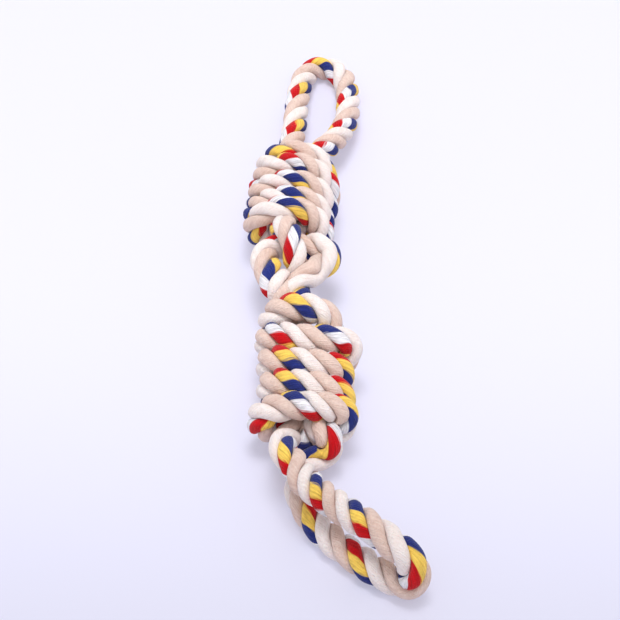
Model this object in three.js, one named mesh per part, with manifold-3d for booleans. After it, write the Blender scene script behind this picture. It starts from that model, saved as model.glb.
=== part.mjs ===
// Rope tug toy lying on a table: two ropes, each with a hand loop, a wound grip and a small eye.
// The two eyes pass through each other and link the ropes. Millimetres, +Z up, +Y away from the viewer.
import * as THREE from "three";
import { mergeVertices } from "three/addons/utils/BufferGeometryUtils.js";
import Module from "manifold-3d";

const wasm = await Module();
wasm.setup();

// Driving sizes
const ROPE_D = 16; // loose rope in the hand loops
const NECK_D = 13; // rope where the bottom loop leaves its grip
const EYE_D = 13; // rope drawn tight where the two eyes link
const MEET_GAP = 0.4; // gap left where two stretches meet
const REST_CUT = ROPE_D / 10; // flat pressed on a loop where it rests
const TUBE_SIDES = 10;

// Core ropes squeezed inside a winding
const CORE_WIDE = 11.6;
const CORE_OFFSET = 6.1;

// Windings: turns counted from zero at the first crest
const STEPS_A_TURN = 24;
const LEAST_WOUND_GAP = 0.4;
const UPPER_WINDING = {
  first: new THREE.Vector3(-20.5, 91, 23.2),
  last: new THREE.Vector3(-24.3, 37.2, 24.6),
  crests: 4,
  from: -0.5,
  to: 4.25,
  hand: 1,
  halfWide: 21,
  halfTall: 17,
  taper: 0.8,
  ropeWide: 13,
  ropeThick: 15,
  coreTall: 13.2,
};
const LOWER_WINDING = {
  first: new THREE.Vector3(-15, -113, 20.7),
  last: new THREE.Vector3(-17.4, -46.5, 28.4),
  crests: 4,
  from: -0.25,
  to: 4.25,
  hand: -1,
  halfWide: 21.3,
  halfTall: 15.2,
  taper: 0,
  ropeWide: 15.6,
  ropeThick: 16,
  coreTall: 10.2,
};

// Hinge lines, where a loop leaves its grip
const TOP_HINGE = new THREE.Vector3(-17.2, 112, 22);
const TOP_ROOT_SPREAD = 16.6;
const WAIST_HINGE = new THREE.Vector3(-20.5, -29, 31.5);
const WAIST_ROOT_SPREAD = 15.4;
const BOTTOM_HINGE = new THREE.Vector3(-20.5, -154, 0);
const BOTTOM_HIGH = 34;
const BOTTOM_LOW = ROPE_D / 2 - REST_CUT;

// Ends of the squeezed cores, along Y
const UPPER_CORE_Y = [TOP_HINGE.y - ROPE_D / 2 - MEET_GAP, 32.4];
const LOWER_CORE_Y = [WAIST_HINGE.y - EYE_D / 2 - MEET_GAP, -125.5];

const CREAM = 0xe8dccb;
const TAN = 0xc9a582;

// Hand loop at the far end, from its right root over the end to its left root
const TOP_LOOP_ROUTE = [
  [TOP_HINGE.x + TOP_ROOT_SPREAD / 2, TOP_HINGE.y, TOP_HINGE.z],
  [-4, 120, 21],
  [3, 131, 19],
  [8.5, 144, 17],
  [12, 160, 14],
  [13, 177, 11],
  [12.8, 192, 8.5],
  [11.3, 203.5, 7],
  [6.5, 214, BOTTOM_LOW],
  [-1.3, 219.5, BOTTOM_LOW],
  [-9.4, 218.5, BOTTOM_LOW],
  [-15.4, 211.5, 7],
  [-18.8, 200, 8.3],
  [-20.5, 187, 10],
  [-21.5, 168, 13],
  [-22.5, 149, 16.5],
  [-24, 132, 19.5],
  [-25, 121, 21],
  [TOP_HINGE.x - TOP_ROOT_SPREAD / 2, TOP_HINGE.y, TOP_HINGE.z],
];

// Eye of the upper rope: out of the left core, over the other eye, round and back below it
const UPPER_EYE_ROUTE = [
  [-30, 39, 22],
  [-29.8, 33.5, 25.2],
  [-29.4, 27.8, 30.6],
  [-28, 22.9, 36.3],
  [-26.2, 17.3, 41.4],
  [-24, 10.5, 43.6],
  [-21.8, 3, 41.2],
  [-20.6, -1.8, 35],
  [-20.4, -3, 27.5],
  [-20.4, -0.5, 20.5],
  [-20.3, 5.5, 15.8],
  [-20.1, 13.5, 14],
  [-19.6, 21, 15.6],
  [-18.8, 27.5, 19.6],
  [-18.3, 33, 24],
  [-18.2, 38, 28.5],
];

// Eye of the lower rope: from its left root round through the other eye to its right root
const LOWER_EYE_ROUTE = [
  [WAIST_HINGE.x - WAIST_ROOT_SPREAD / 2, WAIST_HINGE.y, WAIST_HINGE.z],
  [-29.8, -22, 32.3],
  [-34, -14, 31.6],
  [-38.8, -5, 30.5],
  [-41, 1.5, 30.2],
  [-40.4, 7, 29.9],
  [-36.6, 10.6, 29.3],
  [-31, 11.6, 28.8],
  [-21, 11.6, 28.6],
  [-12.5, 13, 29.6],
  [-7, 12.2, 30.5],
  [-3.2, 8.8, 31.1],
  [-1.8, 3.4, 31.3],
  [-3.2, -3, 31.3],
  [-6, -9, 31.7],
  [-9.8, -15.5, 32.2],
  [-12.4, -22, 32.3],
  [WAIST_HINGE.x + WAIST_ROOT_SPREAD / 2, WAIST_HINGE.y, WAIST_HINGE.z],
];

// Necks of the bottom loop: the left one stays high, the right one turns down and crosses below it
const LEFT_NECK_ROUTE = [
  [-23.6, -121, 17],
  [-24.2, -130.5, 24],
  [-25, -138, 29.4],
  [-24.2, -146.2, 33],
  [BOTTOM_HINGE.x, BOTTOM_HINGE.y, BOTTOM_HIGH],
];
const RIGHT_NECK_ROUTE = [
  [-9.4, -118, 18.5],
  [-7.8, -125.6, 22.2],
  [-4.2, -131.4, 21.8],
  [-2, -134.8, 17],
  [-4.2, -136.8, 11.4],
  [-9.6, -139.2, 8.6],
  [-14.4, -142.8, 7.6],
  [-18, -147.6, NECK_D / 2 + MEET_GAP],
  [BOTTOM_HINGE.x, BOTTOM_HINGE.y, BOTTOM_LOW],
];

// Hand loop at the near end, standing on edge: out along the high leg, back along the table
const BOTTOM_LOOP_ROUTE = [
  [BOTTOM_HINGE.x, BOTTOM_HINGE.y, BOTTOM_HIGH],
  [-16.5, -162.5, BOTTOM_HIGH],
  [-8, -172, BOTTOM_HIGH],
  [5, -183, BOTTOM_HIGH],
  [16, -191.5, 33.5],
  [24, -198, 33],
  [31, -204.6, 32],
  [36.8, -209.2, 29.5],
  [40.6, -212.6, 24.3],
  [42, -214.4, 18],
  [41, -214.6, 12],
  [37.2, -213, 7.8],
  [31.5, -210, BOTTOM_LOW],
  [24.5, -205.8, BOTTOM_LOW],
  [15.5, -199, BOTTOM_LOW],
  [6, -190.5, BOTTOM_LOW],
  [-3, -182, BOTTOM_LOW],
  [-12, -171, BOTTOM_LOW],
  [-17.5, -161, BOTTOM_LOW],
  [BOTTOM_HINGE.x, BOTTOM_HINGE.y, BOTTOM_LOW],
];

// A closed mesh as a solid, and back again
function toSolid(geometry) {
  const bare = geometry.clone();
  bare.deleteAttribute("normal");
  bare.deleteAttribute("uv");
  const merged = mergeVertices(bare, 1e-3);
  const mesh = new wasm.Mesh({
    numProp: 3,
    vertProperties: new Float32Array(merged.attributes.position.array),
    triVerts: new Uint32Array(merged.index.array),
  });
  return new wasm.Manifold(mesh);
}

function toGeometry(body) {
  const mesh = body.getMesh();
  const geometry = new THREE.BufferGeometry();
  geometry.setAttribute("position", new THREE.BufferAttribute(mesh.vertProperties, 3));
  geometry.setIndex(new THREE.BufferAttribute(mesh.triVerts, 1));
  return geometry;
}

// A regular outline for a rope's section
function roundSection(diameter, sides) {
  const corners = [];
  for (let i = 0; i < sides; i += 1) {
    const angle = (2 * Math.PI * (i + 0.5)) / sides;
    corners.push(new THREE.Vector2(Math.cos(angle), Math.sin(angle)).multiplyScalar(diameter / 2));
  }
  return new THREE.Shape(corners);
}

// A rope stretch along a route of hand-chosen points
function ropeTube(route, diameter, steps) {
  const path = new THREE.CatmullRomCurve3(route.map((p) => new THREE.Vector3(...p)));
  const options = { steps, bevelEnabled: false, extrudePath: path };
  return toSolid(new THREE.ExtrudeGeometry(roundSection(diameter, TUBE_SIDES), options));
}

// A round end on the hinge line, so that the stretch turns there without meeting its neighbour
function roundEnd(body, point, diameter) {
  const ball = new THREE.SphereGeometry(diameter / 2 - 0.15, 12, 8);
  ball.translate(...point);
  return body.add(toSolid(ball));
}

// The table top cuts a flat on whatever rests on it
function restFlat(body) {
  const slab = new THREE.BoxGeometry(400, 700, 40);
  slab.translate(0, 0, -20);
  return body.subtract(toSolid(slab));
}

// Cut away all of a stretch past a plane square to Y; side is 1 for what lies at larger Y
function cutPast(body, y, side) {
  const slab = new THREE.BoxGeometry(400, 100, 400);
  slab.translate(0, y + side * 50, 0);
  return body.subtract(toSolid(slab));
}

// Centre of a winding's rope after some turns, with its outward direction
function woundPoint(w, turns) {
  const angle = 2 * Math.PI * turns;
  const narrow = w.taper * Math.max(0, 1 - Math.max(0, turns)) ** 2;
  const wide = w.halfWide - narrow;
  const tall = w.halfTall;
  const centre = w.first.clone().lerp(w.last, turns / w.crests);
  centre.x += w.hand * wide * Math.sin(angle);
  centre.z += tall * Math.cos(angle);
  const out = new THREE.Vector3((w.hand * Math.sin(angle)) / wide, 0, Math.cos(angle) / tall);
  return { centre, out: out.normalize() };
}

// Stations along a winding: a straight run of one diameter at each end and even steps between
function woundStations(w) {
  const count = Math.round((w.to - w.from) * STEPS_A_TURN);
  const stations = [];
  for (let i = 0; i <= count; i += 1) {
    const turns = w.from + (i * (w.to - w.from)) / count;
    const here = woundPoint(w, turns);
    const ahead = woundPoint(w, turns + 1e-3).centre;
    const tangent = ahead.sub(woundPoint(w, turns - 1e-3).centre).normalize();
    stations.push({ turns, tangent, ...here });
  }
  const lead = stations[0];
  const tail = stations[count];
  const before = lead.centre.clone().addScaledVector(lead.tangent, -w.ropeThick);
  const after = tail.centre.clone().addScaledVector(tail.tangent, w.ropeThick);
  stations.unshift({ ...lead, centre: before });
  stations.push({ ...tail, centre: after });
  return stations;
}

// Six points round the rope at a station: two on its sides and two each on its face and back
function woundSection(w, station) {
  const across = station.tangent.clone().cross(station.out).normalize();
  const out = across.clone().cross(station.tangent).normalize();
  const wide = w.ropeWide / 2;
  const thick = w.ropeThick / 2;
  const corners = [
    [1, 0],
    [0.5, 1],
    [-0.5, 1],
    [-1, 0],
    [-0.5, -1],
    [0.5, -1],
  ];
  return corners.map(([u, v]) => {
    const point = station.centre.clone();
    return point.addScaledVector(across, u * wide).addScaledVector(out, v * thick);
  });
}

// Least distance between points of the tube more than half a turn apart
function leastGap(rings, stations) {
  let least = Infinity;
  for (let i = 0; i < rings.length; i += 1) {
    for (let j = i + 1; j < rings.length; j += 1) {
      if (stations[j].turns - stations[i].turns < 0.5) continue;
      for (const p of rings[i]) {
        for (const q of rings[j]) least = Math.min(least, p.distanceTo(q));
      }
    }
  }
  return least;
}

// A winding as one unbroken helical tube
function woundTube(name, w) {
  const stations = woundStations(w);
  const rings = stations.map((s) => woundSection(w, s));
  const gap = leastGap(rings, stations);
  console.log(name + ": least gap to itself " + gap.toFixed(2) + " mm");
  if (gap < LEAST_WOUND_GAP) throw new Error(name + " touches itself");
  const sides = rings[0].length;
  const positions = rings.flat().flatMap((p) => p.toArray());
  const faces = [];
  for (let i = 0; i + 1 < rings.length; i += 1) {
    for (let k = 0; k < sides; k += 1) {
      const a = i * sides + k;
      const b = i * sides + ((k + 1) % sides);
      faces.push(a, b + sides, b, a, a + sides, b + sides);
    }
  }
  const end = (rings.length - 1) * sides;
  for (let k = 1; k + 1 < sides; k += 1) {
    faces.push(0, k, k + 1);
    faces.push(end, end + k + 1, end + k);
  }
  const geometry = new THREE.BufferGeometry();
  geometry.setAttribute("position", new THREE.Float32BufferAttribute(positions, 3));
  geometry.setIndex(faces);
  return toSolid(geometry);
}

// One squeezed core rope inside a winding, beside the winding's middle line
function coreRope(w, ends, side) {
  const middle = (y) => {
    const along = (y - w.first.y) / (w.last.y - w.first.y);
    const point = w.first.clone().lerp(w.last, along);
    point.x += side * CORE_OFFSET;
    return point;
  };
  const outline = new THREE.Shape();
  outline.absellipse(0, 0, CORE_WIDE / 2, w.coreTall / 2, 0, 2 * Math.PI);
  const [far, near] = [middle(ends[0] + 3), middle(ends[1] - 3)];
  const depth = far.distanceTo(near);
  const geometry = new THREE.ExtrudeGeometry(outline, { depth, bevelEnabled: false, curveSegments: 12 });
  geometry.rotateX(Math.PI / 2);
  const turn = new THREE.Quaternion();
  turn.setFromUnitVectors(new THREE.Vector3(0, -1, 0), near.clone().sub(far).normalize());
  geometry.applyQuaternion(turn);
  geometry.translate(far.x, far.y, far.z);
  return cutPast(cutPast(toSolid(geometry), ends[0], 1), ends[1], -1);
}

const toy = new THREE.Group();

function place(name, body, color) {
  const material = new THREE.MeshStandardMaterial({ color, roughness: 0.95 });
  const mesh = new THREE.Mesh(toGeometry(body), material);
  mesh.name = name;
  toy.add(mesh);
}

// Upper rope
function topLoop() {
  let body = ropeTube(TOP_LOOP_ROUTE, ROPE_D, 30);
  body = roundEnd(body, TOP_LOOP_ROUTE[0], ROPE_D);
  body = roundEnd(body, TOP_LOOP_ROUTE[TOP_LOOP_ROUTE.length - 1], ROPE_D);
  return restFlat(body);
}
place("top_loop", topLoop(), CREAM);
place("upper_winding", restFlat(woundTube("upper_winding", UPPER_WINDING)), TAN);
place("upper_core_left", coreRope(UPPER_WINDING, UPPER_CORE_Y, -1), CREAM);
place("upper_core_right", coreRope(UPPER_WINDING, UPPER_CORE_Y, 1), CREAM);
const upperEye = ropeTube(UPPER_EYE_ROUTE, EYE_D, 26);
place("upper_eye", cutPast(upperEye, UPPER_CORE_Y[1] - MEET_GAP, 1), CREAM);

// Lower rope
function lowerEye() {
  let body = ropeTube(LOWER_EYE_ROUTE, EYE_D, 28);
  body = roundEnd(body, LOWER_EYE_ROUTE[0], EYE_D);
  return roundEnd(body, LOWER_EYE_ROUTE[LOWER_EYE_ROUTE.length - 1], EYE_D);
}
place("lower_eye", lowerEye(), CREAM);
place("lower_winding", restFlat(woundTube("lower_winding", LOWER_WINDING)), TAN);
place("lower_core_left", coreRope(LOWER_WINDING, LOWER_CORE_Y, -1), CREAM);
place("lower_core_right", coreRope(LOWER_WINDING, LOWER_CORE_Y, 1), CREAM);

// A neck stops short of the round end that it meets
function neck(route) {
  const socket = new THREE.SphereGeometry(ROPE_D / 2 + MEET_GAP, 16, 12);
  socket.translate(...route[route.length - 1]);
  const room = ropeTube(BOTTOM_LOOP_ROUTE, ROPE_D + 2 * MEET_GAP, 34);
  const stretch = ropeTube(route, NECK_D, 12).subtract(toSolid(socket)).subtract(room);
  return cutPast(stretch, LOWER_CORE_Y[1] - MEET_GAP, 1);
}
place("lower_neck_left", neck(LEFT_NECK_ROUTE), CREAM);
place("lower_neck_right", restFlat(neck(RIGHT_NECK_ROUTE)), CREAM);

function bottomLoop() {
  let body = ropeTube(BOTTOM_LOOP_ROUTE, ROPE_D, 34);
  body = roundEnd(body, BOTTOM_LOOP_ROUTE[0], ROPE_D);
  body = roundEnd(body, BOTTOM_LOOP_ROUTE[BOTTOM_LOOP_ROUTE.length - 1], ROPE_D);
  return restFlat(body);
}
place("bottom_loop", bottomLoop(), CREAM);

// The toy stands with the middle of its outline's underside at the origin
const outline = new THREE.Box3().setFromObject(toy);
const middle = outline.getCenter(new THREE.Vector3());
toy.children.forEach((mesh) => mesh.geometry.translate(-middle.x, -middle.y, -outline.min.z));
console.log("frame shift " + [middle.x, middle.y, outline.min.z].map((v) => v.toFixed(3)).join(" "));

export default toy;
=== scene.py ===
import math

import bpy
import numpy as np
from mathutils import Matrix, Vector


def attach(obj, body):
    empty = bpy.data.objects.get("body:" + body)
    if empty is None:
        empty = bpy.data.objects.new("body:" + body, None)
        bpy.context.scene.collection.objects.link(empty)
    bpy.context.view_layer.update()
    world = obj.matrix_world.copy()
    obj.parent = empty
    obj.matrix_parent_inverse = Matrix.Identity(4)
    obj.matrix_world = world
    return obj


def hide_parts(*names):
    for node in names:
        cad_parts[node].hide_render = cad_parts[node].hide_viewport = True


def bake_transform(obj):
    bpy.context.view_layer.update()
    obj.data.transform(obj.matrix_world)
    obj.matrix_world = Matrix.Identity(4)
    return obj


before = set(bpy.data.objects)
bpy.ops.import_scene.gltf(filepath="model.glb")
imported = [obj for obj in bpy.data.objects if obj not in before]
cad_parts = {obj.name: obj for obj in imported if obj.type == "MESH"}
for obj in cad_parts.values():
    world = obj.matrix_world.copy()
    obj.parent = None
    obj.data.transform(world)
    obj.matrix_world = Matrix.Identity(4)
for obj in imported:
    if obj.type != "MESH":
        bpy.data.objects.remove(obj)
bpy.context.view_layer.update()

# Millimetres in the axes of the part's source, and the shift from them to the part's frame
MM = 0.001
SHIFT = np.array([1.358, -2.376, 0.0])

# Rope diameters as drawn: in the near loop, the necks and both eyes they are larger than the source's
ROPE_D = 16.0
NEAR_D = 17.2
NECK_D = 16.0
EYE_D = 15.0
WAIST_D = 16.5

# How finely a rope is drawn: the distance between its rings, and the points round each strand
STEP = 1.2
SIDES = 22

# Points drawn between two points of a route and along a winding before they are resampled, and easing passes
SPAN_POINTS = 24
WINDING_POINTS = 2400
EASINGS = 5

# Lay of the strands: the yarn colours pass twice in each lay, and beyond its end marks a rope is laid evenly
FULL_TURN = 2 * math.pi
STRANDS = 3
COLOUR_CYCLES = 2
RUN_ON = 400.0

# Yarn coordinates: the step from strand to strand round the rope, and the length of rope for one unit along it
STRAND_TINT = 0.37
YARN_RUN = 40.0

# Uneven thickness along a strand: two waves, each with its height, its radians a millimetre, and its radians
# from strand to strand
UNEVEN = (0.018, 0.61, 2.1), (0.014, 0.23, 4.0)

# A strand's oval in rope radii, the way its seams lean, and the gap left there
STRAND_OUT = 0.53
STRAND_HALF_TALL = 0.47
STRAND_HALF_WIDE = 0.60
SEAM_LEAN = math.radians(60)
SEAM_GAP = 0.012

# A winding's axis ends lie at turn 0 and at this turn; its rope draws in over a part of a turn at both ends
AXIS_TURNS = 4
TUCK_DEPTH = 0.35
TUCK_TURNS = 0.3

# Nudges are given for quarter turns between these two turns
QUARTERS = 4
NUDGE_FROM = -1
NUDGE_TO = 5

# Towards the viewer of the photograph, and the lowest height in metres above the table
VIEW = np.array([0.0, -0.701, 0.713])
LOWEST = 0.0001

# Centre lines of the ropes: the source's routes, run on into the grips and fitted closer to the photograph
TOP_LOOP = [
    (-8.9, 92, 23), (-8.9, 102, 22.4), (-8.9, 112, 22), (-4, 120, 21), (3, 131, 19), (8.5, 144, 17),
    (12, 160, 14), (13, 177, 11), (12.8, 192, 8.5), (11.5, 204.5, 7.2), (6.8, 215.6, 7), (-1.3, 221.5, 7),
    (-9.6, 220.3, 7), (-15.8, 212.5, 7.4), (-18.8, 200, 8.5), (-20.5, 187, 10.2), (-21.5, 168, 13),
    (-22.5, 149, 16.5), (-24, 132, 19.5), (-25, 121, 21), (-25.5, 112, 22), (-25.5, 102, 22.4),
    (-25.5, 92, 23),
]
UPPER_EYE = [
    (-14.5, 88, 24), (-15, 60, 24.5), (-18.2, 42, 25), (-18.4, 36, 21.5), (-18.8, 30.5, 17.6),
    (-19.4, 24, 14.8), (-19.8, 16, 14), (-20, 8.5, 15.8), (-20.2, 3, 20), (-20.4, 0.2, 26.5),
    (-20.8, 0.6, 33.5), (-21.8, 4.6, 39.8), (-23.4, 11, 43.2), (-25.2, 18, 43.8), (-27.2, 25, 41),
    (-28.8, 30.5, 35.5), (-29.6, 35, 29.5), (-30, 41, 25), (-30, 60, 24), (-29, 88, 24),
]
LOWER_EYE = [
    (-25, -100, 24), (-25.5, -60, 27), (-26.6, -40, 29.5), (-26.8, -30, 31.5), (-28.4, -22.7, 32),
    (-32.7, -15.7, 32.2), (-37, -4, 31.6), (-39.6, 5, 31), (-39.8, 11.5, 30.3), (-37.2, 17, 29.6),
    (-32.5, 19.6, 29), (-24.5, 20.2, 28.8), (-12.5, 19.6, 30.5), (-6.7, 17.6, 32), (-2.8, 13.8, 32.8),
    (-1.2, 8.4, 32.4), (-3.4, 3, 31.8), (-8.2, -2.6, 32.6), (-14.2, -10.4, 33.8), (-19.6, -18.6, 33.5),
    (-21.4, -27, 32), (-20, -38, 30), (-14, -60, 27.5), (-11, -100, 24),
]
NEAR_LOOP = [
    (-23.6, -110, 17), (-24.8, -121, 18), (-26.8, -130, 24.5), (-27.6, -137.4, 29.8), (-25.6, -146, 33),
    (-20.5, -154, 33.6), (-16.5, -162.5, 33), (-8, -172, 32.5), (5, -183, 32), (16, -191.5, 31.6),
    (24, -198, 31.2), (31, -204.6, 30.6), (36.8, -209.2, 29), (40.6, -212.6, 24.3), (42, -214.4, 18),
    (41, -214.6, 12.4), (37.2, -213, 8.6), (31.5, -210, 7.8), (24.5, -205.8, 7.9), (15.5, -199, 7.9),
    (6, -190.5, 7.9), (-3, -182, 7.9), (-10.6, -171, 7.9), (-15.6, -161, 7.8), (-18.6, -153, 7.6),
    (-17.4, -144.5, 9), (-14.8, -137.2, 11), (-9.8, -132.2, 12.6), (-4.2, -129.8, 14.6),
    (-1.4, -128.8, 18.6), (-1.6, -126.8, 23), (-3.8, -123, 24), (-7.4, -117.4, 21.5), (-9.4, -108, 18),
]

# Axis ends of the two windings
UPPER_AXIS = (-20.5, 91, 23.2), (-24.3, 37.2, 24.6)
LOWER_AXIS = (-15, -113, 22.4), (-17.4, -46.5, 31.5)

# Where the left waist rope is pressed flat: a place on it, how far before that, over what length, how far it
# moves aside and how much wider it gets
LEFT_WAIST = (-36.5, -7, 31.7)
FLAT_BEFORE = 8
FLAT_LENGTH = 13
FLAT_ASIDE = 1.4
FLAT_WIDER = 4.5

# How far each quarter turn lies from an even winding: turn, then x, y and z
UPPER_NUDGES = [
    (-0.75, -9, -13, 4), (-0.5, 0, -6, 4), (0, 0, 2.4, 1.5), (0.25, -2.5, 0, 0), (0.75, -1, 0, 0),
    (1, 0, 4, 1.5), (1.75, -1.8, 0, 0), (2, 0, 1, 1.5), (2.25, -1, 0, 0), (2.75, -1.8, 0, 0),
    (3, 0, -0.7, 1.5), (3.25, -2.5, 0, 0), (3.75, -0.5, 1.5, 1), (4, 0, 2.6, 1.5), (4.25, -1.5, 0, 0),
    (4.5, 0, 10, 9), (4.75, 8, 14, 9),
]
LOWER_NUDGES = [
    (-0.75, -6, 8, 6), (-0.5, 0, 3, 6), (-0.25, 0, 4, 4), (0, 0, 0, -4), (0.25, -3.5, -4, 0),
    (1, 0, -1.6, -5.6), (1.25, 2.3, 0, 0), (2, 0, -3.2, -6.4), (2.25, 2.4, 0, 0), (2.75, 5, 2, 1),
    (3, 0, -2.6, -6.4), (3.25, 1.6, -1, 0), (3.75, -5, 0, 0), (4, 0, 0, -3.2), (4.25, 4, -4, -2.5),
    (4.5, 0, -11, 5),
]

# Yarn ridges round a strand, yarn colours, and the settings that all the cotton shares
YARN_RIDGES = 24
NAVY = (0.02, 0.032, 0.2)
YELLOW = (0.97, 0.65, 0.125)
RED = (0.6, 0.004, 0.01)
WHITE = (0.87, 0.85, 0.9)
COTTON = {
    "Subsurface Weight": 0.1,
    "Subsurface Radius": (1.0, 0.55, 0.4),
    "Subsurface Scale": 0.003,
    "Specular IOR Level": 0.12,
    "Sheen Weight": 0.15,
    "Sheen Roughness": 0.5,
}


def unit(v):
    """Vectors of the same direction, one long."""
    return v / np.linalg.norm(v, axis=-1, keepdims=True)


def run_along(points):
    """Each point's distance along a line."""
    return np.r_[0, np.cumsum(np.linalg.norm(np.diff(points, axis=0), axis=1))]


def resampled(points, step):
    """The same line with points a step apart, and each point's distance along it."""
    run = run_along(points)
    s = np.linspace(0, run[-1], int(round(run[-1] / step)) + 1)
    return np.stack([np.interp(s, run, points[:, i]) for i in range(3)], 1), s


def smooth_line(points):
    """A centripetal curve through the route's points, eased a little at each."""
    p = np.array(points, float)
    p = np.vstack([2 * p[0] - p[1], p, 2 * p[-1] - p[-2]])
    d = np.sqrt(np.linalg.norm(np.diff(p, axis=0), axis=1))
    out = []
    for i in range(1, len(p) - 2):
        t1, t2 = d[i - 1], d[i - 1] + d[i]
        t3 = t2 + d[i + 1]
        t = np.linspace(t1, t2, SPAN_POINTS, endpoint=False)[:, None]
        a1 = ((t1 - t) * p[i - 1] + t * p[i]) / t1
        a2 = ((t2 - t) * p[i] + (t - t1) * p[i + 1]) / (t2 - t1)
        a3 = ((t3 - t) * p[i + 1] + (t - t2) * p[i + 2]) / (t3 - t2)
        b1 = ((t2 - t) * a1 + t * a2) / t2
        b2 = ((t3 - t) * a2 + (t - t1) * a3) / (t3 - t1)
        out.append(((t2 - t) * b1 + (t - t1) * b2) / (t2 - t1))
    line, _ = resampled(np.vstack(out + [p[-2:-1]]), STEP)
    for _ in range(EASINGS):
        line[1:-1] = 0.25 * line[:-2] + 0.5 * line[1:-1] + 0.25 * line[2:]
    return resampled(line, STEP)


def nudged(t, nudges):
    """Fitted offsets at quarter turns, eased between them."""
    at = NUDGE_FROM + np.arange((NUDGE_TO - NUDGE_FROM) * QUARTERS + 1) / QUARTERS
    table = np.zeros((len(at), 3))
    for turn, *offset in nudges:
        table[int(round((turn - NUDGE_FROM) * QUARTERS))] = offset
    i = ((t - NUDGE_FROM) * QUARTERS).astype(int)
    f = (t - at[i]) * QUARTERS
    f = (f * f * (3 - 2 * f))[:, None]
    return table[i] * (1 - f) + table[i + 1] * f


def wound_line(axis_ends, start, stop, hand, half_wide, half_tall, taper, nudges):
    """A rope wound round an axis from one count of turns to another, with both ends drawn in under the grip.
    hand is 1 or -1 for the way round, and taper is how much narrower the first turn begins.
    Returns the line, and for each point its distance along it, its count of turns and the way out."""
    first, last = np.array(axis_ends)
    t = np.linspace(start, stop, WINDING_POINTS)
    c = first + (t / AXIS_TURNS)[:, None] * (last - first)
    wide = half_wide - taper * np.maximum(0, 1 - np.maximum(0, t)) ** 2
    tuck = 1 - TUCK_DEPTH * np.clip((start + TUCK_TURNS - t) / TUCK_TURNS, 0, 1) ** 2
    tuck = tuck - TUCK_DEPTH * np.clip((t - stop + TUCK_TURNS) / TUCK_TURNS, 0, 1) ** 2
    c[:, 0] += hand * wide * tuck * np.sin(FULL_TURN * t)
    c[:, 2] += half_tall * tuck * np.cos(FULL_TURN * t)
    c += nudged(t, nudges)
    line, s = resampled(c, STEP)
    t = np.interp(s, run_along(c), t)
    axis = np.stack([np.interp(t, (0, AXIS_TURNS), ends) for ends in zip(first, last)], 1)
    return line, s, t, line - axis


def distance_near(line, s, point):
    """The distance along a line of its point nearest to the one given."""
    return float(s[np.argmin(np.linalg.norm(line - point, axis=1))])


def frames(line, outward=None):
    """Normal and side at each point: the normal follows outward, or else turns as little as it can."""
    tangent = unit(np.gradient(line, axis=0))
    if outward is None:
        normal = np.zeros_like(line)
        n = np.cross(tangent[0], (1.0, 0.0, 0.0))
        for i, t in enumerate(tangent):
            n = n - t * (n @ t)
            n = n / np.linalg.norm(n)
            normal[i] = n
    else:
        normal = unit(outward - tangent * (outward * tangent).sum(1, keepdims=True))
    return normal, np.cross(tangent, normal)


def eased(values, width):
    """A running mean over width points to each side, taken twice."""
    kernel = np.ones(2 * width + 1) / (2 * width + 1)
    for _ in range(2):
        values = np.convolve(np.pad(values, width, mode="reflect", reflect_type="odd"), kernel, "valid")
    return values


def lay_angles(s, normal, side, marks, lay, ease):
    """The striped strand's angle and its yarn colours along the rope.
    A mark is a distance along the rope, the yarn colour on the strand's outside there, and the lays since the
    mark before. Where the lays add up to a whole number the strand faces the viewer, and a fraction turns it
    on from there. A negative number untwists the rope."""
    where, angle, colour = [], [], []
    turns = 0
    for at, tint, lays in marks:
        i = int(np.argmin(np.abs(s - at)))
        phi = math.atan2(side[i] @ VIEW, normal[i] @ VIEW)
        if angle:
            turns += lays
            phi += FULL_TURN * (turns % 1)
            want = angle[-1] + FULL_TURN * lays
            phi += FULL_TURN * round((want - phi) / FULL_TURN)
        where.append(at)
        angle.append(phi)
        colour.append(tint + COLOUR_CYCLES * turns)
    rate = RUN_ON / lay
    where = [where[0] - RUN_ON, *where, where[-1] + RUN_ON]
    angle = [angle[0] - FULL_TURN * rate, *angle, angle[-1] + FULL_TURN * rate]
    colour = [colour[0] - COLOUR_CYCLES * rate, *colour, colour[-1] + COLOUR_CYCLES * rate]
    return eased(np.interp(s, where, angle), ease), eased(np.interp(s, where, colour), ease)


def strand_outline():
    """One strand's outline in rope radii: outward, sideways, and the angle round the strand itself.
    An oval, cut back along two seams where it meets its neighbours."""
    b = np.linspace(-math.pi, math.pi, SIDES, endpoint=False)
    x = STRAND_OUT + STRAND_HALF_TALL * np.cos(b)
    y = STRAND_HALF_WIDE * np.sin(b)
    sin_lean, cos_lean = math.sin(SEAM_LEAN), math.cos(SEAM_LEAN)
    for hand in (1, -1):
        over = np.maximum(hand * y * cos_lean - x * sin_lean + SEAM_GAP, 0)
        x = x + over * sin_lean
        y = y - hand * over * cos_lean
    return x, y, b


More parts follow.
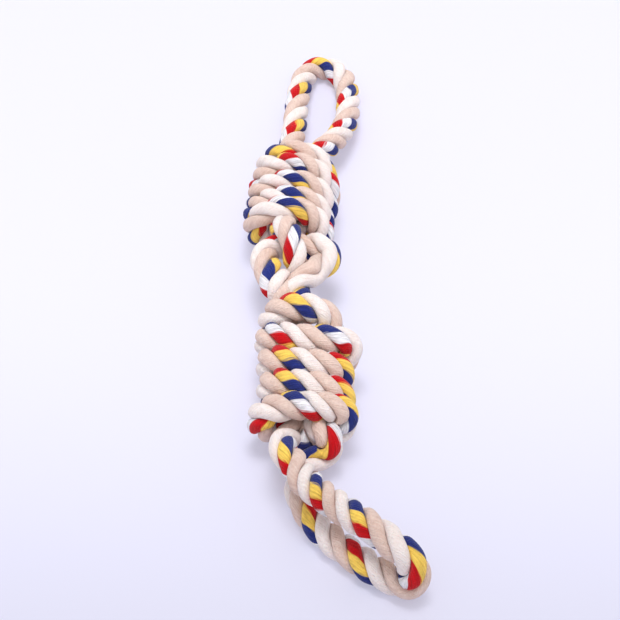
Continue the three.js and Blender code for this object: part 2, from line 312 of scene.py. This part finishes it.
def laid_rope(name, line, s, marks, lay, tall, wide, outward=None, ease=9):
    """Three strands laid right-handed on a line, as one mesh with a material for each strand.
    lay is the length of a full turn beyond the marks, tall and wide are diameters, and ease is how many rings
    to each side the lay is evened over."""
    normal, side = frames(line, outward)
    turn, tint = lay_angles(s, normal, side, marks, lay, ease)
    tall, wide = np.broadcast_to(tall, s.shape) / 2, np.broadcast_to(wide, s.shape) / 2
    out, across, own = strand_outline()
    rings = len(s)
    i, k = np.meshgrid(np.arange(rings - 1), np.arange(SIDES), indexing="ij")
    n = (k + 1) % SIDES
    here, ahead = i * SIDES, (i + 1) * SIDES
    sheath = np.stack([here + k, here + n, ahead + n, ahead + k], -1).reshape(-1, 4)
    u0, u1 = own[k] / FULL_TURN, (own[k] + FULL_TURN / SIDES) / FULL_TURN
    v0, v1 = s[i] / YARN_RUN, s[i + 1] / YARN_RUN
    verts, faces, slots, uvs = [], [], [], []
    for strand in range(STRANDS):
        a = (turn - strand * FULL_TURN / STRANDS)[:, None]
        swell = 1
        for height, waves, apart in UNEVEN:
            swell = swell + height * np.sin(s * waves + apart * strand)
        x, y = out * swell[:, None], across * swell[:, None]
        p = (x * np.cos(a) - y * np.sin(a)) * tall[:, None]
        q = (x * np.sin(a) + y * np.cos(a)) * wide[:, None]
        ring = line[:, None] + normal[:, None] * p[..., None] + side[:, None] * q[..., None]
        verts.append(ring.reshape(-1, 3))
        base = strand * rings * SIDES
        faces += (sheath + base).tolist()
        slots += [strand] * len(sheath)
        k0, k1 = tint[i] + STRAND_TINT * strand, tint[i + 1] + STRAND_TINT * strand
        uvs.append(np.stack([u0 + k0, v0, u1 + k0, v0, u1 + k1, v1, u0 + k1, v1], -1).reshape(-1, 2))
        for end, order in ((0, -1), (rings - 1, 1)):
            faces.append([base + end * SIDES + j for j in range(SIDES)][::order])
            slots.append(strand)
            uvs.append(np.tile([[tint[end], s[end] / YARN_RUN]], (SIDES, 1)))
    points = (np.vstack(verts) + SHIFT) * MM
    points[:, 2] = np.maximum(points[:, 2], LOWEST)
    mesh = bpy.data.meshes.new(name)
    mesh.from_pydata(points.tolist(), [], faces)
    mesh.uv_layers.new(name="yarn").data.foreach_set("uv", np.vstack(uvs).astype(np.float32).ravel())
    for material in MATERIALS:
        mesh.materials.append(material)
    mesh.polygons.foreach_set("material_index", slots)
    mesh.polygons.foreach_set("use_smooth", [True] * len(faces))
    mesh.update()
    obj = bpy.data.objects.new(name, mesh)
    bpy.context.scene.collection.objects.link(obj)
    return obj


def cotton(name, colours, ragged=0.0):
    """Soft spun cotton: yarns along the rope, uneven dye, fuzz.
    colours are stops of a ramp. With ragged they are stripes round the strand, whose edges wander that far;
    without it they are the darkest and the lightest of a plain strand."""
    material = bpy.data.materials.new(name)
    material.use_nodes = True
    tree = material.node_tree
    bsdf = tree.nodes["Principled BSDF"]
    new, link = tree.nodes.new, tree.links.new

    def math_node(kind, *values):
        """The output of one step of arithmetic on numbers or other outputs."""
        n = new("ShaderNodeMath")
        n.operation = kind
        for socket, value in zip(n.inputs, values):
            if isinstance(value, (int, float)):
                socket.default_value = value
            else:
                link(value, socket)
        return n.outputs[0]

    def weighted(part, *rest):
        """The sum of outputs, each given with its weight."""
        value, weight = part
        here = math_node("MULTIPLY", value, weight)
        return math_node("ADD", here, weighted(*rest)) if rest else here

    def map_range(value, low, high, to_low, to_high):
        """An output carried from one range to another."""
        n = new("ShaderNodeMapRange")
        n.inputs["From Min"].default_value = low
        n.inputs["From Max"].default_value = high
        n.inputs["To Min"].default_value = to_low
        n.inputs["To Max"].default_value = to_high
        link(value, n.inputs["Value"])
        return n.outputs[0]

    def noise(vector, scale, detail):
        """Noise read at a vector."""
        n = new("ShaderNodeTexNoise")
        n.inputs["Scale"].default_value = scale
        n.inputs["Detail"].default_value = detail
        link(vector, n.inputs["Vector"])
        return n.outputs["Fac"]

    uv = new("ShaderNodeUVMap")
    uv.uv_map = "yarn"
    apart = new("ShaderNodeSeparateXYZ")
    link(uv.outputs[0], apart.inputs[0])
    u, v = apart.outputs[0], apart.outputs[1]
    place = new("ShaderNodeTexCoord").outputs["Object"]

    def stretched(across, along):
        """Yarn coordinates, scaled across and along the strand."""
        n = new("ShaderNodeCombineXYZ")
        link(math_node("MULTIPLY", u, across), n.inputs[0])
        link(math_node("MULTIPLY", v, along), n.inputs[1])
        return n.outputs[0]

    fibre = noise(stretched(across=26.0, along=5.0), scale=1.0, detail=3.0)
    cloud = noise(place, scale=160.0, detail=2.0)
    fuzz = noise(place, scale=1900.0, detail=2.0)
    tufts = noise(place, scale=800.0, detail=3.0)

    # Colour
    ramp = new("ShaderNodeValToRGB")
    stops = ramp.color_ramp.elements
    while len(stops) > 1:
        stops.remove(stops[-1])
    for i, (at, rgb) in enumerate(colours):
        stop = stops[0] if i == 0 else stops.new(at)
        stop.position = at
        stop.color = (*rgb, 1.0)
    colour = ramp.outputs[0]
    if ragged:
        drift = noise(stretched(across=20.0, along=4.0), scale=1.0, detail=1.0)
        wander = math_node("SUBTRACT", drift, 0.5)
        edge = math_node("ADD", u, math_node("MULTIPLY", wander, ragged))
        link(math_node("FRACT", edge), ramp.inputs[0])
        shade = new("ShaderNodeMix")
        shade.data_type = "RGBA"
        shade.blend_type = "MULTIPLY"
        shade.inputs["Factor"].default_value = 1.0
        link(colour, shade.inputs["A"])
        link(map_range(fibre, low=0.25, high=0.75, to_low=0.66, to_high=1.22), shade.inputs["B"])
        colour = shade.outputs["Result"]
    else:
        link(weighted((fibre, 0.45), (cloud, 0.25), (tufts, 0.3)), ramp.inputs[0])
    link(colour, bsdf.inputs["Base Color"])

    # Yarn ridges and fuzz
    ridge = math_node("ABSOLUTE", math_node("SINE", math_node("MULTIPLY", u, YARN_RIDGES * math.pi)))
    bump = new("ShaderNodeBump")
    bump.inputs["Strength"].default_value = 0.9
    bump.inputs["Distance"].default_value = 0.0007
    link(weighted((ridge, 0.3), (fibre, 0.5), (fuzz, 0.5), (tufts, 1.1)), bump.inputs["Height"])
    link(bump.outputs[0], bsdf.inputs["Normal"])
    link(map_range(fuzz, low=0.0, high=1.0, to_low=0.82, to_high=0.98), bsdf.inputs["Roughness"])
    for socket, value in COTTON.items():
        bsdf.inputs[socket].default_value = value
    return material


# One material for each strand, in the strands' order
MATERIALS = [
    cotton("cotton_striped", [
        (0.0, NAVY), (0.235, NAVY), (0.265, YELLOW), (0.475, YELLOW), (0.505, RED), (0.735, RED),
        (0.765, WHITE), (0.975, WHITE), (1.0, NAVY),
    ], 0.12),
    cotton("cotton_tan", [(0.37, (0.685, 0.485, 0.418)), (0.64, (0.85, 0.67, 0.6))]),
    cotton("cotton_cream", [(0.37, (0.84, 0.718, 0.685)), (0.64, (0.965, 0.882, 0.873))]),
]

# Far hand loop
far_line, s = smooth_line(TOP_LOOP)
far_loop = laid_rope("far_loop_rope", far_line, s, [
    (29, 0.79, 1), (56, 0.86, 1), (99, 0.92, 1), (139.5, 1.125, 1), (183, 1.5, 1), (236, 1.52, 1),
], lay=38.0, tall=ROPE_D, wide=ROPE_D)

# Upper grip: legs with the eye, then the turns over them, whose tops are counted from the far end
line, s = smooth_line(UPPER_EYE)
upper_eye = laid_rope("upper_eye_rope", line, s, [
    (distance_near(line, s, (-23.0, 9.0, 42.5)), 0.8, 1),
], lay=36.0, tall=EYE_D, wide=EYE_D)
line, s, t, outward = wound_line(
    UPPER_AXIS, start=-0.7, stop=4.55, hand=1, half_wide=21.0, half_tall=17.0, taper=0.8, nudges=UPPER_NUDGES)
top_1, top_2, top_3, top_4, flank, top_5 = np.interp((-0.062, 1.005, 2.02, 3.024, 3.72, 4.05), t, s)
upper_turns = laid_rope("upper_grip_rope", line, s, [
    (top_1, 0.46, 1), (top_1 + 50, 1.2, 1), (top_2, 0.88, 3), (top_2 + 32, 1.2, 1),
    (top_3, 1.2, 3), (top_3 + 37, 1.6, 1), (top_4, 1.26, 3), (top_4 + 34, 1.6, 1),
    (flank, 1.45, 2), (top_5, 1.32, 1), (top_5 + 33, 1.6, 1),
], lay=31.0, tall=15.6, wide=14.2, outward=outward)

# Lower grip: the eye, whose left waist rope is pressed a little flat, then the turns, counted the same way
line, s = smooth_line(LOWER_EYE)
flat = np.exp(-((s - distance_near(line, s, LEFT_WAIST) + FLAT_BEFORE) / FLAT_LENGTH) ** 2)
line = line + np.outer(flat, (FLAT_ASIDE, 0, 0))
waist, bar, bend, after, root = (distance_near(line, s, point) for point in (
    LEFT_WAIST, (-2.8, 13.8, 32.8), (-3.4, 3, 31.8), (-11, -6.3, 33.2), (-14.2, -10.4, 33.8),
))
lower_eye = laid_rope("lower_eye_rope", line, s, [
    (waist - 2, 1.12, 1), (bar - 3, 0.5, 1.64), (bend + 4, 1.0, 0), (after, 2.0, -0.3),
    (root + 23, 1.15, 0.66),
], lay=30.0, tall=WAIST_D - flat, wide=WAIST_D + FLAT_WIDER * flat, ease=3)
line, s, t, outward = wound_line(
    LOWER_AXIS, start=-0.55, stop=4.5, hand=-1, half_wide=21.3, half_tall=17.0, taper=0.0, nudges=LOWER_NUDGES)
top_5, top_4, top_3, top_2, top_1 = np.interp((0.0, 1.05, 2.045, 3.108, 3.99), t, s)
lower_turns = laid_rope("lower_grip_rope", line, s, [
    (top_5 - 31, 0.86, 1), (top_5, 0.81, 1), (top_5 + 28, 0.6, 1), (top_4 - 37, -0.06, 2),
    (top_4, 0.13, 1), (top_3 - 37, -0.1, 3), (top_3, 0.13, 1), (top_2 - 34, 0.85, 3),
    (top_2, 0.6, 1), (top_1 - 36, 0.3, 3), (top_1, 0.12, 1),
], lay=30.0, tall=16.4, wide=17.2, outward=outward)

# Near hand loop with both necks, which are slimmer
near_line, s = smooth_line(NEAR_LOOP)
slim = np.interp(s, (0, 40, 60, 215, 240, s[-1]), (NECK_D, NECK_D, NEAR_D, NEAR_D, NECK_D, NECK_D))
near_loop = laid_rope("near_loop_rope", near_line, s, [
    (-9, 0.37, 1), (47, 0.37, 1), (73, 0.38, 1), (100, 0.4, 1), (143, 0.66, 1),
    (184, 0.37, 1), (220.5, 0.47, 1), (275, 0.45, 1),
], lay=34.0, tall=slim, wide=slim)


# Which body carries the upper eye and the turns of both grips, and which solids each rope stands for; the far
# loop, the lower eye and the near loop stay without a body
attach(upper_eye, "upper_grip")
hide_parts("upper_eye", "upper_core_left", "upper_core_right")
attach(upper_turns, "upper_grip")
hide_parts("upper_winding")
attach(lower_turns, "lower_grip")
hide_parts("lower_winding", "lower_core_left", "lower_core_right")
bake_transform(far_loop)
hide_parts("top_loop")
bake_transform(lower_eye)
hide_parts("lower_eye")
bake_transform(near_loop)
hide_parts("bottom_loop", "lower_neck_left", "lower_neck_right")

# Table: pale, and glowing as well, a painted light that lifts the floor, thins the shadows round the ropes and
# lights their undersides
bpy.ops.mesh.primitive_plane_add(size=6.0, location=(0, 0, 0))
table = bpy.context.object
table.name = "table"
paper = bpy.data.materials.new("pale_glowing_table")
paper.use_nodes = True
shader = paper.node_tree.nodes["Principled BSDF"]
shader.inputs["Base Color"].default_value = (0.49, 0.486, 0.6, 1)
# Painted light: the table's glow brightens the floor and its shadows and throws light up onto the ropes
shader.inputs["Emission Color"].default_value = (0.85, 0.845, 1.0, 1)
shader.inputs["Emission Strength"].default_value = 0.29
shader.inputs["Roughness"].default_value = 0.75
table.data.materials.append(paper)

# Light: an even surround, a pool over the far part and a weak light from the front
world = bpy.data.worlds.new("studio")
bpy.context.scene.world = world
world.use_nodes = True
sky = world.node_tree.nodes["Background"]
sky.inputs["Color"].default_value = (1.0, 1.0, 1.0, 1)
sky.inputs["Strength"].default_value = 0.755


def soft_light(name, place, aim, size, watts, spread):
    """A square area light at a place, turned to its aim, with its spread in degrees."""
    lamp = bpy.data.lights.new(name, "AREA")
    lamp.energy = watts
    lamp.size = size
    lamp.spread = math.radians(spread)
    obj = bpy.data.objects.new(name, lamp)
    obj.location = place
    obj.rotation_euler = (Vector(aim) - Vector(place)).to_track_quat("-Z", "Y").to_euler()
    bpy.context.scene.collection.objects.link(obj)


soft_light("overhead", (0, 0.285, 0.9), (0, 0.285, 0), size=1.0, watts=2.0, spread=36)
soft_light("front", (0.04, -0.7, 1.35), (0, 0.1, 0), size=0.9, watts=1.2, spread=180)

# Camera at the photograph's angle
lens = bpy.data.cameras.new("camera")
lens.lens = 107.42
lens.sensor_width = 36.0
camera = bpy.data.objects.new("camera", lens)
camera.location = (-0.01114, -0.79087, 0.79788)
camera.rotation_euler = (math.radians(44.5), 0, 0)
bpy.context.scene.collection.objects.link(camera)
bpy.context.scene.camera = camera
bpy.context.scene.view_settings.view_transform = "Standard"

bpy.context.view_layer.update()
